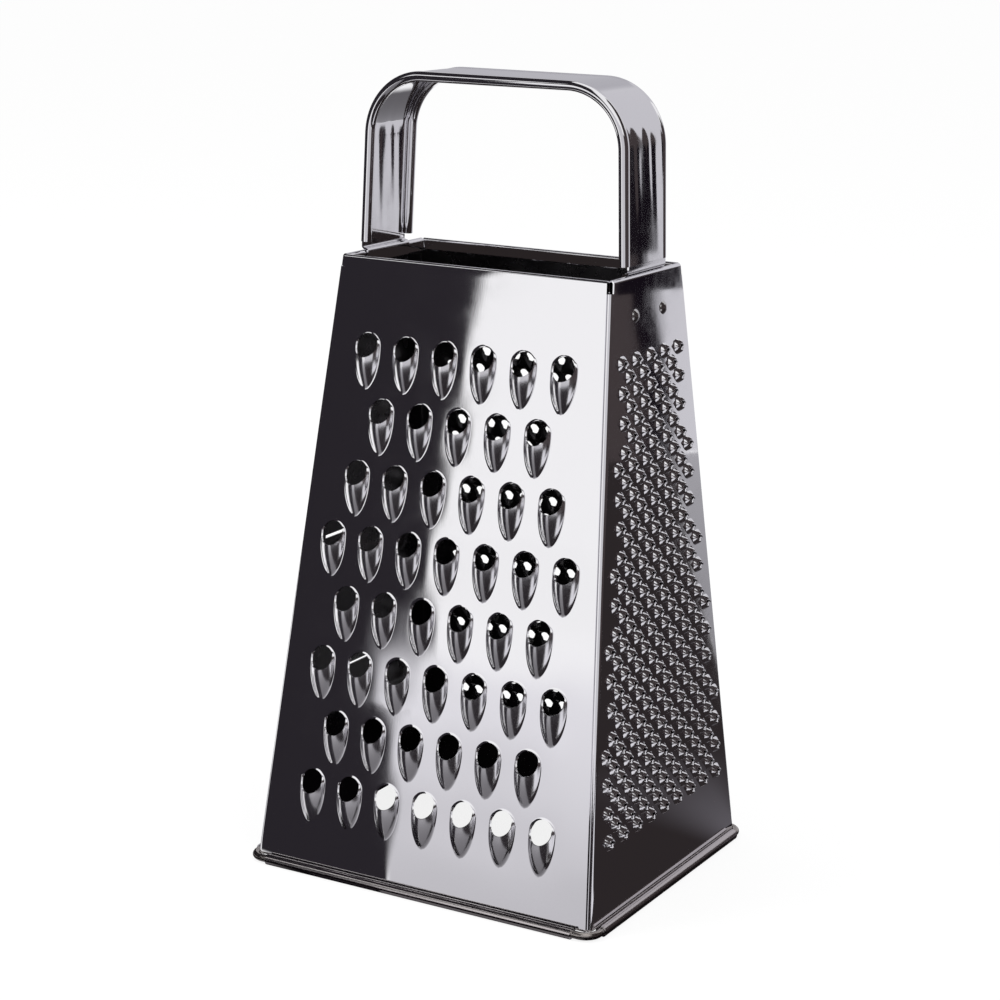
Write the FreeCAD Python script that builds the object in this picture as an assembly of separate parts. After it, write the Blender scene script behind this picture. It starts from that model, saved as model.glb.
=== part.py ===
import FreeCAD, Part
import math
import os

os.makedirs("parts", exist_ok=True)

Vector = FreeCAD.Vector

# Frame: the origin is at the middle of the base on the table, +Z is up, the coarse side faces -Y
# and the star-punched side faces +X. All sizes are in millimetres.

# Body, over the outer faces of the four sheets, at the height of the base wire and at the rim
base_width = 105.2
base_depth = 89.8
rim_width = 82.2
rim_depth = 41.5
rim_height = 168.5
sheet = 0.4

# Fits and cuts
clearance = 0.1
overrun = 20.0

# Base wire and the sheet curled round it
wire_diameter = 2.1
wire_bend_radius = 4.0
curl_turn = 300.0
curl_corner_gap = 5.5
foot_flat = 0.1

# Corner seam: the side sheets bend round the corner and lap behind the front and rear sheets
corner_radius = 1.0
corner_gap = 0.35
seam_lap = 4.5
seam_foot = 2.0

# Hems along the rim
long_hem_inside_radius = 0.25
long_hem_depth = 2.6
side_hem_inside_radius = 0.5
side_hem_depth = 3.0

# Coarse teeth, front
coarse_pitch = 12.0
coarse_row_pitch = 17.26
coarse_rows = 8
coarse_hole_radius = 3.3
coarse_half_width = 3.75
coarse_lift = 2.6
coarse_tail = 11.7
coarse_bulge = 0.64
coarse_first_drop = 23.6
coarse_side_margin = 5.0

# Medium teeth, rear
medium_pitch = 4.8
medium_row_pitch = 5.4
medium_rows = 25
medium_hole_radius = 1.6
medium_half_width = 1.8
medium_lift = 1.1
medium_tail = 3.5
medium_bulge = 0
medium_first_drop = 21.0
medium_side_margin = 8.0

# Star-punched burrs, right
star_pitch = 8.2
star_row_pitch = 3.875
star_rows = 33
star_first_drop = 22.0
star_field_top = 33.8
star_field_bottom = 73.8
star_foot_radius = 2.1
star_mouth_radius = 1.0
star_lift = 1.3
star_notch_floor = 0.35
star_notch_width = 1.25

# Slicer blades, left
blade_pitch = 42.0
blade_rows = 3
blade_first_drop = 40.0
blade_side_margin = 8.0
blade_fall = 12.0
blade_lift = 2.6
blade_taper = 4.5
blade_gap = 2.4

# Handle strap
handle_top = 217.5
handle_sheet = 0.5
strap_width = 24.0
strap_roll_diameter = 2.8
strap_roll_turn = 300.0
handle_corner_radius = 17.7
leg_lean = 2.1
leg_inset = 0.2
leg_foot = 2.4
tongue_drop = 17.0
tongue_bend_inside_radius = 0.5
tongue_hook_turn = 60.0
tongue_hook_gap = 0.4

# Rivets
rivet_spacing = 16.2
rivet_drop = 10.5
rivet_shank_diameter = 2.2
rivet_head_diameter = 3.6
rivet_head_height = 0.9
rivet_tail_diameter = 3.4
rivet_tail_height = 0.7

# Sizes that follow from the ones above
wire_radius = wire_diameter / 2
curl_inside_radius = wire_radius + clearance
curl_outside_radius = curl_inside_radius + sheet
wire_height = curl_outside_radius - foot_flat
body_rise = rim_height - wire_height
long_run = (base_depth - rim_depth) / 2
side_run = (base_width - rim_width) / 2
long_slope = math.hypot(body_rise, long_run)
side_slope = math.hypot(body_rise, side_run)
long_lean = math.degrees(math.atan2(long_run, body_rise))
side_lean = math.degrees(math.atan2(side_run, body_rise))
side_hem_thickness = 2 * (side_hem_inside_radius + sheet)
origin = Vector(0, 0, 0)


class Bends:
    """A strip of sheet followed along its middle line, as runs and bends in one plane."""

    def __init__(self, start, heading):
        self.at = start
        self.heading = heading
        self.moves = []

    def ahead(self):
        """The direction the strip is heading."""
        angle = math.radians(self.heading)
        return Vector(math.cos(angle), math.sin(angle), 0)

    def run(self, length):
        """Go straight on."""
        end = self.at + self.ahead() * length
        self.moves.append(("run", self.at, end, self.ahead(), None))
        self.at = end
        return self

    def bend(self, middle_radius, turn):
        """Go round a bend: a turn above zero is to the left."""
        side = 1 if turn > 0 else -1
        across = Vector(0, 0, 1).cross(self.ahead()) * side
        centre = self.at + across * middle_radius
        spoke = self.at - centre
        half = FreeCAD.Rotation(Vector(0, 0, 1), turn / 2)
        middle = half.multVec(spoke)
        end = half.multVec(middle)
        self.moves.append(("bend", spoke, end, middle, (centre, middle_radius, side)))
        self.at = centre + end
        self.heading += turn
        return self

    def edges(self, offset):
        """The strip's edges at a distance to the left of its middle line."""
        found = []
        for kind, first, last, other, arc in self.moves:
            if kind == "run":
                shift = Vector(0, 0, 1).cross(other) * offset
                found.append(Part.makeLine(first + shift, last + shift))
                continue
            centre, radius, side = arc
            share = (radius - side * offset) / radius
            points = [centre + spoke * share for spoke in (first, other, last)]
            found.append(Part.Arc(*points).toShape())
        return found

    def line(self):
        """The middle line as a wire."""
        return Part.Wire(self.edges(0))

    def outline(self, thickness):
        """The closed outline of the strip."""
        left = self.edges(thickness / 2)
        right = self.edges(-thickness / 2)
        ends = [(left[0].Vertexes[0], right[0].Vertexes[0]), (left[-1].Vertexes[-1], right[-1].Vertexes[-1])]
        caps = [Part.makeLine(a.Point, b.Point) for a, b in ends]
        return Part.Wire(Part.__sortEdges__(left + right + caps))

    def band(self, thickness):
        """The strip's section as a face."""
        return Part.Face(self.outline(thickness))


def polygon(points):
    """A flat face from corner points."""
    return Part.Face(Part.makePolygon(points + points[:1]))


def upright(shape):
    """Turn a section drawn as up-the-slope and outward into the sheet's own frame."""
    shape = shape.copy()
    shape.rotate(origin, Vector(1, 1, 1), 120)
    return shape


def level(shape):
    """Turn a section drawn as across and outward (or upward) out of the drawing plane."""
    shape = shape.copy()
    shape.rotate(origin, Vector(1, 0, 0), 90)
    return shape


def stand(shape, lean, depth, turn):
    """Stand a shape made in a sheet's flat frame on its side of the box."""
    shape = shape.copy()
    shape.rotate(origin, Vector(1, 0, 0), 90 - lean)
    shape.translate(Vector(0, -depth / 2, wire_height))
    shape.rotate(origin, Vector(0, 0, 1), turn)
    return shape


def staggered(slope, rows, first_drop, row_pitch, pitch, reach, first_offset_share):
    """Centres in the sheet's frame, row under row, each row shifted half a pitch from the last."""
    centres = []
    for row in range(rows):
        y = slope - first_drop - row * row_pitch
        offset = pitch * ((first_offset_share + row / 2) % 1)
        count = math.floor((reach(y) - offset) / pitch) + 1
        for place in range(count):
            x = offset + place * pitch
            centres += [Vector(x, y, 0)] if x == 0 else [Vector(-x, y, 0), Vector(x, y, 0)]
    return centres


def placed(shape, centres):
    """Copies of a shape at a list of centres."""
    copies = []
    for centre in centres:
        copy = shape.copy()
        copy.translate(centre)
        copies.append(copy)
    return copies


class Punch:
    """A punched feature about its centre: its own faces, and its mouth in each skin of the sheet."""

    def __init__(self, reach, cutters, shells):
        corner = Vector(-reach, -reach, -sheet)
        patch = Part.makeBox(2 * reach, 2 * reach, sheet, corner).cut(cutters)
        if shells:
            patch = patch.fuse(shells)
        inner = reach - clearance
        within = FreeCAD.BoundBox(-inner, -inner, -overrun, inner, inner, overrun)
        self.faces = [face for face in patch.Faces if within.isInside(face.BoundBox)]
        rims = [wire for face in patch.Faces if not within.isInside(face.BoundBox) for wire in face.Wires]
        mouths = [wire for wire in rims if within.isInside(wire.BoundBox)]
        self.front = [wire for wire in mouths if wire.CenterOfMass.z > -sheet / 2]
        self.back = [wire for wire in mouths if wire.CenterOfMass.z < -sheet / 2]


def scoop(hole_radius, half_width, lift, tail, bulge):
    """A scoop tooth: a round hole whose lower rim is raised in a shell that falls to a tip.

    The shell is turned about an axis behind the sheet. Its fall is a straight line, or with a bulge
    above zero an arc that stands that much outside the line.
    """
    section_radius = (half_width ** 2 + lift ** 2) / (2 * lift)
    axis_depth = section_radius - lift
    slant = math.hypot(tail, lift)
    outward = Vector(-lift, tail, 0) / slant

    def fall(inset):
        """The line or arc from the lip down to the tip, set in from the outer skin."""
        top = Vector(0, section_radius, 0) - outward * inset
        tip = Vector(-tail, axis_depth, 0) - outward * inset
        if bulge == 0:
            return Part.makeLine(top, tip)
        return Part.Arc(top, (top + tip) / 2 + outward * bulge, tip).toShape()

    def spun(edges):
        """Turn an outline about the tooth's own axis."""
        solid = Part.Face(Part.Wire(Part.__sortEdges__(edges))).revolve(origin, Vector(1, 0, 0), 360)
        solid = upright(solid)
        solid.translate(Vector(0, 0, -axis_depth))
        return solid

    outer = fall(0)
    inner = fall(sheet)
    top, tip = outer.Vertexes[0].Point, outer.Vertexes[-1].Point
    core = Part.makePolygon([top, origin, Vector(tip.x, 0, 0), tip])
    barrel = spun([outer] + core.Edges)
    caps = [Part.makeLine(a.Point, b.Point) for a, b in zip(outer.Vertexes, inner.Vertexes)]
    shell = spun([outer, inner] + caps)
    slab = Part.makeBox(2 * overrun, overrun, overrun, Vector(-overrun, -overrun, -sheet))
    hole = Part.makeCylinder(hole_radius, 2 * overrun, Vector(0, 0, -overrun))
    return Punch(2 * tail, [barrel, hole], [shell.common(slab).cut(hole)])


def star():
    """A star-punched burr on its hole's centre: a cone of sheet with its mouth split into four points."""
    foot = Vector(star_foot_radius, -sheet, 0)
    rise = Vector(star_mouth_radius - star_foot_radius, star_lift, 0)
    wall = Vector(sheet, 0, 0)
    rim = Vector(star_foot_radius, 0, 0)
    section = polygon([foot - wall, foot, rim, rim + rise, rim + rise - wall])
    cone = level(section.revolve(origin, Vector(0, 1, 0), 360))
    half = star_notch_width / 2
    notch = polygon([Vector(0, star_notch_floor, 0), Vector(half, star_lift, 0), Vector(half, 2 * star_lift, 0),
                     Vector(-half, 2 * star_lift, 0), Vector(-half, star_lift, 0)])
    notch = level(notch).extrude(Vector(0, 2 * overrun, 0))
    notch.translate(Vector(0, -overrun, 0))
    grooves = [notch.copy(), notch.copy()]
    for groove, turn in zip(grooves, (45, 135)):
        groove.rotate(origin, Vector(0, 0, 1), turn)
    hole = Part.makeCylinder(star_foot_radius, 2 * overrun, Vector(0, 0, -overrun))
    return Punch(2 * star_foot_radius, [hole], [cone.cut(grooves)])


def blade(half_length):
    """A slicer blade about the middle of its lip: a slot with the sheet below it raised as a ramp."""
    lip = half_length - blade_taper
    foot = [Vector(-half_length, -blade_fall, 0), Vector(half_length, -blade_fall, 0),
            Vector(half_length, 0, 0), Vector(-half_length, 0, 0)]
    crest = [Vector(-lip, 0, blade_lift), Vector(lip, 0, blade_lift)]
    sides = [foot, [foot[0], foot[1], crest[1], crest[0]], [foot[2], foot[3], crest[0], crest[1]],
             [foot[1], foot[2], crest[1]], [foot[3], foot[0], crest[0]]]
    wedge = Part.makeSolid(Part.makeShell([polygon(side) for side in sides]))
    under = polygon(foot).extrude(Vector(0, 0, -sheet))
    hollow = wedge.copy()
    hollow.translate(Vector(0, 0, -sheet))
    gap = [Vector(lip, 0, 0), Vector(lip, blade_gap, 0), Vector(-lip, blade_gap, 0), Vector(-lip, 0, 0)]
    opening = polygon(foot[:3] + gap + foot[3:]).extrude(Vector(0, 0, -sheet))
    return Punch(2 * half_length, [opening], [wedge.fuse(under).cut(hollow)])


def rivet_hole():
    """A plain round hole for a rivet's shank."""
    radius = rivet_shank_diameter / 2 + clearance
    return Punch(2 * radius, [Part.makeCylinder(radius, 2 * overrun, Vector(0, 0, -overrun))], [])


def punched_sheet(outline, punches):
    """A flat sheet with its punched features, as one solid. Punches come with their centres."""
    back_outline = outline.copy()
    back_outline.translate(Vector(0, 0, -sheet))
    front = []
    back = []
    faces = outline.extrude(Vector(0, 0, -sheet)).Faces
    for punch, centres in punches:
        front += [copy for wire in punch.front for copy in placed(wire, centres)]
        back += [copy for wire in punch.back for copy in placed(wire, centres)]
        faces += [copy for face in punch.faces for copy in placed(face, centres)]
    for skin, mouths in ((outline, front), (back_outline, back)):
        faces += Part.Face(skin).cut([Part.Face(mouth) for mouth in mouths]).Faces
    skin = Part.makeCompound(faces)
    skin.sewShape()
    return Part.makeSolid(skin.Shells[0])


def corner_at(y, slope, base, rim):
    """Half the width between the two corner lines of a sheet, at a height up its slope."""
    return (base + (rim - base) * y / slope) / 2


def sheet_body(slope, lean, base, rim, inset, hem_radius, hem_depth, punches):
    """The flat of one sheet with its punched features, its rim hem and the curl round the base wire."""
    low = -curl_inside_radius * math.tan(math.radians(lean))
    notch = curl_inside_radius + 2 * clearance
    top = slope - hem_radius - sheet
    curl_half = base / 2 - curl_corner_gap
    notch_half = corner_at(notch, slope, base, rim) - inset
    top_half = corner_at(top, slope, base, rim) - inset
    right = [Vector(curl_half, low, 0), Vector(curl_half, notch, 0), Vector(notch_half, notch, 0),
             Vector(top_half, top, 0)]
    left = [Vector(-point.x, point.y, 0) for point in reversed(right)]
    flat = punched_sheet(Part.makePolygon(right + left + right[:1]), punches)
    hem = Bends(Vector(top, -sheet / 2, 0), 0).bend(hem_radius + sheet / 2, -180).run(hem_depth)
    hem = upright(hem.band(sheet)).extrude(Vector(2 * top_half, 0, 0))
    hem.translate(Vector(-top_half, 0, 0))
    curl = Bends(Vector(low, -sheet / 2, 0), 180).bend(curl_inside_radius + sheet / 2, -curl_turn)
    curl = upright(curl.band(sheet)).extrude(Vector(2 * curl_half, 0, 0))
    curl.translate(Vector(-curl_half, 0, 0))
    return flat, hem, curl


def joined(pieces):
    """One solid from touching pieces of the same sheet."""
    whole = pieces[0].fuse(pieces[1:])
    return whole.Solids[0] if len(whole.Solids) == 1 else whole


def on_table(curl):
    """Press the underside of a standing curl flat where it meets the table."""
    size = base_width + 2 * overrun
    return curl.cut(Part.makeBox(size, size, overrun, Vector(-size / 2, -size / 2, -overrun)))


def toothed_panel(turn, tooth, centres):
    """A front or rear sheet with one kind of scoop tooth."""
    flat, hem, curl = sheet_body(long_slope, long_lean, base_width, rim_width, corner_radius + corner_gap,
                                 long_hem_inside_radius, long_hem_depth, [(tooth, centres)])
    standing = [stand(piece, long_lean, base_depth, turn) for piece in (flat, hem, curl)]
    return joined(standing[:2] + [on_table(standing[2])])


def front_coarse_panel():
    """The coarse shredder."""
    reach = coarse_side_margin + coarse_hole_radius
    centres = staggered(long_slope, coarse_rows, coarse_first_drop, coarse_row_pitch, coarse_pitch,
                        lambda y: corner_at(y, long_slope, base_width, rim_width) - reach, 1 / 2)
    tooth = scoop(coarse_hole_radius, coarse_half_width, coarse_lift, coarse_tail, coarse_bulge)
    return toothed_panel(0, tooth, centres)


def rear_medium_panel():
    """The medium shredder."""
    reach = medium_side_margin + medium_hole_radius
    centres = staggered(long_slope, medium_rows, medium_first_drop, medium_row_pitch, medium_pitch,
                        lambda y: corner_at(y, long_slope, base_width, rim_width) - reach, 1 / 2)
    tooth = scoop(medium_hole_radius, medium_half_width, medium_lift, medium_tail, medium_bulge)
    return toothed_panel(180, tooth, centres)


def seam_flanges(seam_inset):
    """The two long edges of a side sheet, bent round the corner to lap behind the next sheets."""
    plane_tilt = math.tan(math.radians(long_lean)) * math.sin(math.radians(side_lean))
    turn = 90 - math.degrees(math.atan(plane_tilt))
    low = seam_foot
    high = side_slope - long_hem_depth - long_hem_inside_radius - sheet - clearance
    low_half = corner_at(low, side_slope, base_depth, rim_depth) - seam_inset - corner_radius
    along = Vector((rim_depth - base_depth) / 2 * (high - low) / side_slope, high - low, 0)
    flange = Bends(Vector(low_half, -sheet / 2, 0), 0).bend(corner_radius - sheet / 2, -turn).run(seam_lap)
    flange = level(flange.band(sheet))
    flange.translate(Vector(0, low, 0))
    flange = flange.extrude(along)
    return [flange, flange.mirror(origin, Vector(1, 0, 0))]


def rivet_centres():
    """Where the two rivets of a side go through its sheet."""
    return [Vector(x, side_slope - rivet_drop, 0) for x in (-rivet_spacing / 2, rivet_spacing / 2)]


def side_panel(turn, punches):
    """A side sheet with its corner flanges, rivet holes and other punched features."""
    out_of_plane = math.sin(math.radians(long_lean)) * math.cos(math.radians(side_lean))
    seam_inset = (sheet + clearance) / math.sqrt(1 - out_of_plane ** 2)
    flat, hem, curl = sheet_body(side_slope, side_lean, base_depth, rim_depth, seam_inset + corner_radius,
                                 side_hem_inside_radius, side_hem_depth,
                                 punches + [(rivet_hole(), rivet_centres())])
    pieces = [flat, hem] + seam_flanges(seam_inset) + [curl]
    standing = [stand(piece, side_lean, base_width, turn) for piece in pieces]
    return joined(standing[:-1] + [on_table(standing[-1])])


def right_fine_panel():
    """The star-punched side, whose field of burrs widens downwards."""
    field_drop = (star_rows - 1) * star_row_pitch
    spread = (star_field_bottom - star_field_top) / field_drop

    def reach(y):
        """Half the field's width at a height up the slope."""
        return (star_field_top + spread * (side_slope - star_first_drop - y)) / 2

    centres = staggered(side_slope, star_rows, star_first_drop, star_row_pitch, star_pitch, reach, 0)
    return side_panel(90, [(star(), centres)])


def left_slicer_panel():
    """The slicer, whose blades get longer downwards."""
    punches = []
    for row in range(blade_rows):
        y = side_slope - blade_first_drop - row * blade_pitch
        half_length = corner_at(y, side_slope, base_depth, rim_depth) - blade_side_margin
        punches.append((blade(half_length), [Vector(0, y, 0)]))
    return side_panel(270, punches)


def base_wire():
    """The closed ring of round wire that the four curls hold."""
    x = base_width / 2 + curl_inside_radius / math.cos(math.radians(side_lean))
    y = base_depth / 2 + curl_inside_radius / math.cos(math.radians(long_lean))
    straight_x = x - wire_bend_radius
    straight_y = y - wire_bend_radius
    ring = Bends(Vector(0, -y, 0), 0)
    ring.run(straight_x).bend(wire_bend_radius, 90).run(2 * straight_y).bend(wire_bend_radius, 90)
    ring.run(2 * straight_x).bend(wire_bend_radius, 90).run(2 * straight_y).bend(wire_bend_radius, 90)
    ring.run(straight_x)
    section = Part.Wire(Part.makeCircle(wire_radius, Vector(0, -y, 0), Vector(1, 0, 0)))
    wire = ring.line().makePipeShell([section], True, False)
    wire.translate(Vector(0, 0, wire_height))
    return wire


def tongue_line():
    """One handle end in the side sheet's frame, from inside the sheet, past its hem and up to the leg."""
    middle = tongue_bend_inside_radius + handle_sheet / 2
    hook = math.radians(tongue_hook_turn)
    step_in = side_hem_thickness - sheet + clearance
    slant = (step_in - 2 * middle * (1 - math.cos(hook))) / math.sin(hook)
    hook_rise = 2 * middle * math.sin(hook) + slant * math.cos(hook)
    hem_foot = side_hem_inside_radius + sheet + side_hem_depth
    lower = tongue_drop - hem_foot - tongue_hook_gap - hook_rise
    past_hem = hem_foot + tongue_hook_gap + clearance - tongue_bend_inside_radius
    outward = side_lean - leg_lean
    step_out = side_hem_thickness + clearance - leg_inset
    ledge = step_out - middle - middle * math.cos(math.radians(outward))
    line = Bends(Vector(side_slope - tongue_drop, -sheet - handle_sheet / 2, 0), 0)
    line.run(lower).bend(middle, -tongue_hook_turn).run(slant).bend(middle, tongue_hook_turn).run(past_hem)
    line.bend(middle, 90).run(ledge).bend(middle, outward - 90)
    rest = (side_slope + leg_foot - line.at.x) / math.cos(math.radians(outward))
    return line.run(rest)


def handle_strap():
    """The U-shaped strap with rolled edges, and its two tongues."""
    line = tongue_line()
    foot = stand(upright(Part.Vertex(line.at)), side_lean, base_width, 90).Point
    middle = handle_corner_radius - handle_sheet / 2
    lean = math.radians(leg_lean)
    leg = (handle_top - handle_sheet / 2 - foot.z - middle * (1 - math.sin(lean))) / math.cos(lean)
    span = 2 * (foot.x - leg * math.sin(lean) - middle * math.cos(lean))
    arch = Bends(Vector(foot.x, foot.z, 0), 90 + leg_lean)
    arch.run(leg).bend(middle, 90 - leg_lean).run(span).bend(middle, 90 - leg_lean).run(leg)
    roll = (strap_roll_diameter - handle_sheet) / 2
    web_half = (strap_width - strap_roll_diameter) / 2
    curl = math.radians(strap_roll_turn)
    start = Vector(-web_half - roll * math.sin(curl), roll * (math.cos(curl) - 1), 0)
    section = Bends(start, strap_roll_turn).bend(roll, -strap_roll_turn)
    section = section.run(2 * web_half).bend(roll, -strap_roll_turn).outline(handle_sheet)
    outward = Vector(math.cos(lean), 0, math.sin(lean))
    downward = Vector(math.sin(lean), 0, -math.cos(lean))
    turn = FreeCAD.Rotation(Vector(0, 1, 0), outward, downward, "XYZ")
    section.Placement = FreeCAD.Placement(foot, turn)
    sweep = Part.BRepOffsetAPI.MakePipeShell(level(arch.line()))
    sweep.setBiNormalMode(Vector(0, 1, 0))
    sweep.add(section)
    sweep.build()
    sweep.makeSolid()
    tongue = upright(line.band(handle_sheet)).extrude(Vector(2 * web_half, 0, 0))
    tongue.translate(Vector(-web_half, 0, 0))
    drill = Part.makeCylinder(rivet_shank_diameter / 2 + clearance, 2 * overrun, Vector(0, 0, -overrun))
    tongue = tongue.cut(placed(drill, rivet_centres()))
    tongues = [stand(tongue, side_lean, base_width, side) for side in (90, 270)]
    return joined([sweep.shape()] + tongues)


def rivet():
    """A rivet on the sheet's outer face: a domed head outside, the tail spread inside the tongue."""
    def cap(diameter, height, base):
        """A shallow dome that stands on a level."""
        radius = (diameter ** 2 / 4 + height ** 2) / (2 * height)
        ball = Part.makeSphere(radius, Vector(0, 0, height - radius))
        dome = ball.common(Part.makeBox(2 * overrun, 2 * overrun, overrun, Vector(-overrun, -overrun, 0)))
        dome.translate(Vector(0, 0, base))
        return dome

    grip = sheet + handle_sheet
    shank = Part.makeCylinder(rivet_shank_diameter / 2, grip, Vector(0, 0, -grip))
    tail = cap(rivet_tail_diameter, rivet_tail_height, 0).mirror(origin, Vector(0, 0, 1))
    tail.translate(Vector(0, 0, -grip))
    return joined([shank, cap(rivet_head_diameter, rivet_head_height, 0), tail])


nodes = {
    "front_coarse_panel": front_coarse_panel(),
    "right_fine_panel": right_fine_panel(),
    "rear_medium_panel": rear_medium_panel(),
    "left_slicer_panel": left_slicer_panel(),
    "base_wire": base_wire(),
    "handle_strap": handle_strap(),
}
rivet_names = {90: ("front", "rear"), 270: ("rear", "front")}
for turn, side in ((90, "right"), (270, "left")):
    for place, end in zip(placed(rivet(), rivet_centres()), rivet_names[turn]):
        nodes["handle_rivet_" + side + "_" + end] = stand(place, side_lean, base_width, turn)

for name, shape in nodes.items():
    shape.exportStep("parts/" + name + ".step")
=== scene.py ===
import logging
import math
from dataclasses import dataclass
from enum import Enum
from typing import Any

import bmesh
import bpy
import numpy as np
from mathutils import Matrix, Vector


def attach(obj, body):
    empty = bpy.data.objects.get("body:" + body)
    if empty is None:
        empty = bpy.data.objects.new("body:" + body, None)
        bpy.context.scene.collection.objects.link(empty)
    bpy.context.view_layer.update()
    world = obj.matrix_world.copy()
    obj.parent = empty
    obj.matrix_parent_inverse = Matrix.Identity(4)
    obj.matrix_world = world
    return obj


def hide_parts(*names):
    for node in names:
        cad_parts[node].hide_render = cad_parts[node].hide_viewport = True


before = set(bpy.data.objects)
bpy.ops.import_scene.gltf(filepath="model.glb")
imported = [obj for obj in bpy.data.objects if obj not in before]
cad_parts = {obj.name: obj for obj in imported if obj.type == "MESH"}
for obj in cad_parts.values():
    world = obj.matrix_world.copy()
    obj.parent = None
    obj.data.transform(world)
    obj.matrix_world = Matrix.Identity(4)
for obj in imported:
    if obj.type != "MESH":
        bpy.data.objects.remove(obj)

logging.basicConfig(level=logging.INFO, format="%(name)s: %(message)s")
log = logging.getLogger("box_grater")

MM = 0.001
# Points of a flat sheet that lie nearer than this, in millimetres, are one point.
WELD = 0.02
Points = np.ndarray
Faces = np.ndarray
Patch = tuple[Points, Faces]


def linear(hex_colour: str) -> tuple[float, float, float, float]:
    """Turn an sRGB hex colour into linear light.

    Args:
        hex_colour: six hex digits after a hash sign.

    Returns:
        Red, green, blue and a full alpha.
    """
    parts = np.array([int(hex_colour[i:i + 2], 16) for i in (1, 3, 5)]) / 255
    light = np.where(parts <= 0.04045, parts / 12.92, ((parts + 0.055) / 1.055) ** 2.4)
    return (*map(float, light), 1.0)


def add_node(tree: bpy.types.NodeTree, kind: str, links: dict[Any, Any] | None = None,
             sockets: dict[Any, Any] | None = None, **settings: Any) -> bpy.types.Node:
    """Add one node with its settings, its socket values and its incoming links.

    Args:
        tree: the node tree.
        kind: the node's type name.
        links: sockets of other nodes by the input they feed.
        sockets: values by the input they are set on.
        settings: the node's own properties.

    Returns:
        The new node.
    """
    node = tree.nodes.new(kind)
    for key, value in settings.items():
        setattr(node, key, value)
    for key, value in (sockets or {}).items():
        node.inputs[key].default_value = value
    for key, socket in (links or {}).items():
        tree.links.new(socket, node.inputs[key])
    return node


def blank_material(name: str) -> tuple[bpy.types.Material, bpy.types.NodeTree, bpy.types.Node]:
    """Make a material that holds only its output node.

    Args:
        name: the finish's name.

    Returns:
        The material, its tree and the output node.
    """
    material = bpy.data.materials.new(name)
    material.use_nodes = True
    tree = material.node_tree
    tree.nodes.clear()
    return material, tree, add_node(tree, "ShaderNodeOutputMaterial")


def smooth(x: Points) -> Points:
    """Ease from 0 to 1: three x squared less two x cubed, held outside that range."""
    x = np.clip(x, 0.0, 1.0)
    return x * x * (3 - 2 * x)


def grid_faces(rows: int, columns: int, closed: bool = False) -> Faces:
    """Quads of a grid of points laid out row after row.

    Args:
        rows: how many rows of points.
        columns: how many points a row has.
        closed: whether each row runs round to its own start.

    Returns:
        Four point numbers for each quad.
    """
    steps = columns if closed else columns - 1
    row, column = np.meshgrid(np.arange(rows - 1), np.arange(steps), indexing="ij")
    after = (column + 1) % columns
    return np.stack([row * columns + column, row * columns + after,
                     (row + 1) * columns + after, (row + 1) * columns + column], axis=-1).reshape(-1, 4)


def repeated(points: Points, faces: Faces, centres: Points) -> Patch:
    """Copy one patch to many centres.

    Args:
        points: the patch's points about its own centre.
        faces: its faces.
        centres: where the copies go.

    Returns:
        All points and all faces.
    """
    shift = np.arange(len(centres))[:, None, None] * len(points)
    return (points[None] + centres[:, None]).reshape(-1, 3), (faces[None] + shift).reshape(-1, faces.shape[1])


def stacked(patches: list[Patch]) -> Patch:
    """Put several patches of quads into one list of points and one of faces.

    Args:
        patches: points and faces of each patch.

    Returns:
        All points and all faces.
    """
    starts = np.cumsum([0] + [len(points) for points, _ in patches[:-1]])
    return (np.concatenate([points for points, _ in patches]),
            np.concatenate([faces + start for (_, faces), start in zip(patches, starts)]))


def carried(x: Points, y: Points, z: Points) -> Patch:
    """Carry a section of heights and outward steps straight across a sheet.

    Args:
        x: places across, from left to right.
        y: the section's heights.
        z: the section's outward steps.

    Returns:
        Points and quads.
    """
    shape = (len(y), len(x))
    points = np.stack([np.broadcast_to(x, shape), np.broadcast_to(y[:, None], shape),
                       np.broadcast_to(z[:, None], shape)], -1).reshape(-1, 3)
    return points, grid_faces(*shape)


def mesh_piece(name: str, points: Points, faces: Faces) -> bpy.types.Object:
    """Put points and quads into a new object at the origin.

    Args:
        name: the piece's name.
        points: the points.
        faces: the quads.

    Returns:
        The object, linked into the scene.
    """
    mesh = bpy.data.meshes.new(name)
    mesh.from_pydata(points.tolist(), [], faces.tolist())
    mesh.update()
    piece = bpy.data.objects.new(name, mesh)
    bpy.context.scene.collection.objects.link(piece)
    return piece


def read_points(mesh: bpy.types.Mesh) -> Points:
    """All points of a mesh as an array of rows.

    Args:
        mesh: the mesh to read.

    Returns:
        One row of three for each point.
    """
    flat = np.empty(len(mesh.vertices) * 3)
    mesh.vertices.foreach_get("co", flat)
    return flat.reshape(-1, 3)


def write_points(mesh: bpy.types.Mesh, points: Points) -> None:
    """Write an array of rows back as a mesh's points."""
    mesh.vertices.foreach_set("co", points.ravel())
    mesh.update()


def write_values(mesh: bpy.types.Mesh, name: str, values: Points) -> None:
    """Give each point of a mesh its value of a named attribute."""
    layer = mesh.attributes.new(name, "FLOAT", "POINT")
    layer.data.foreach_set("value", values.astype(np.float32))


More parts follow.
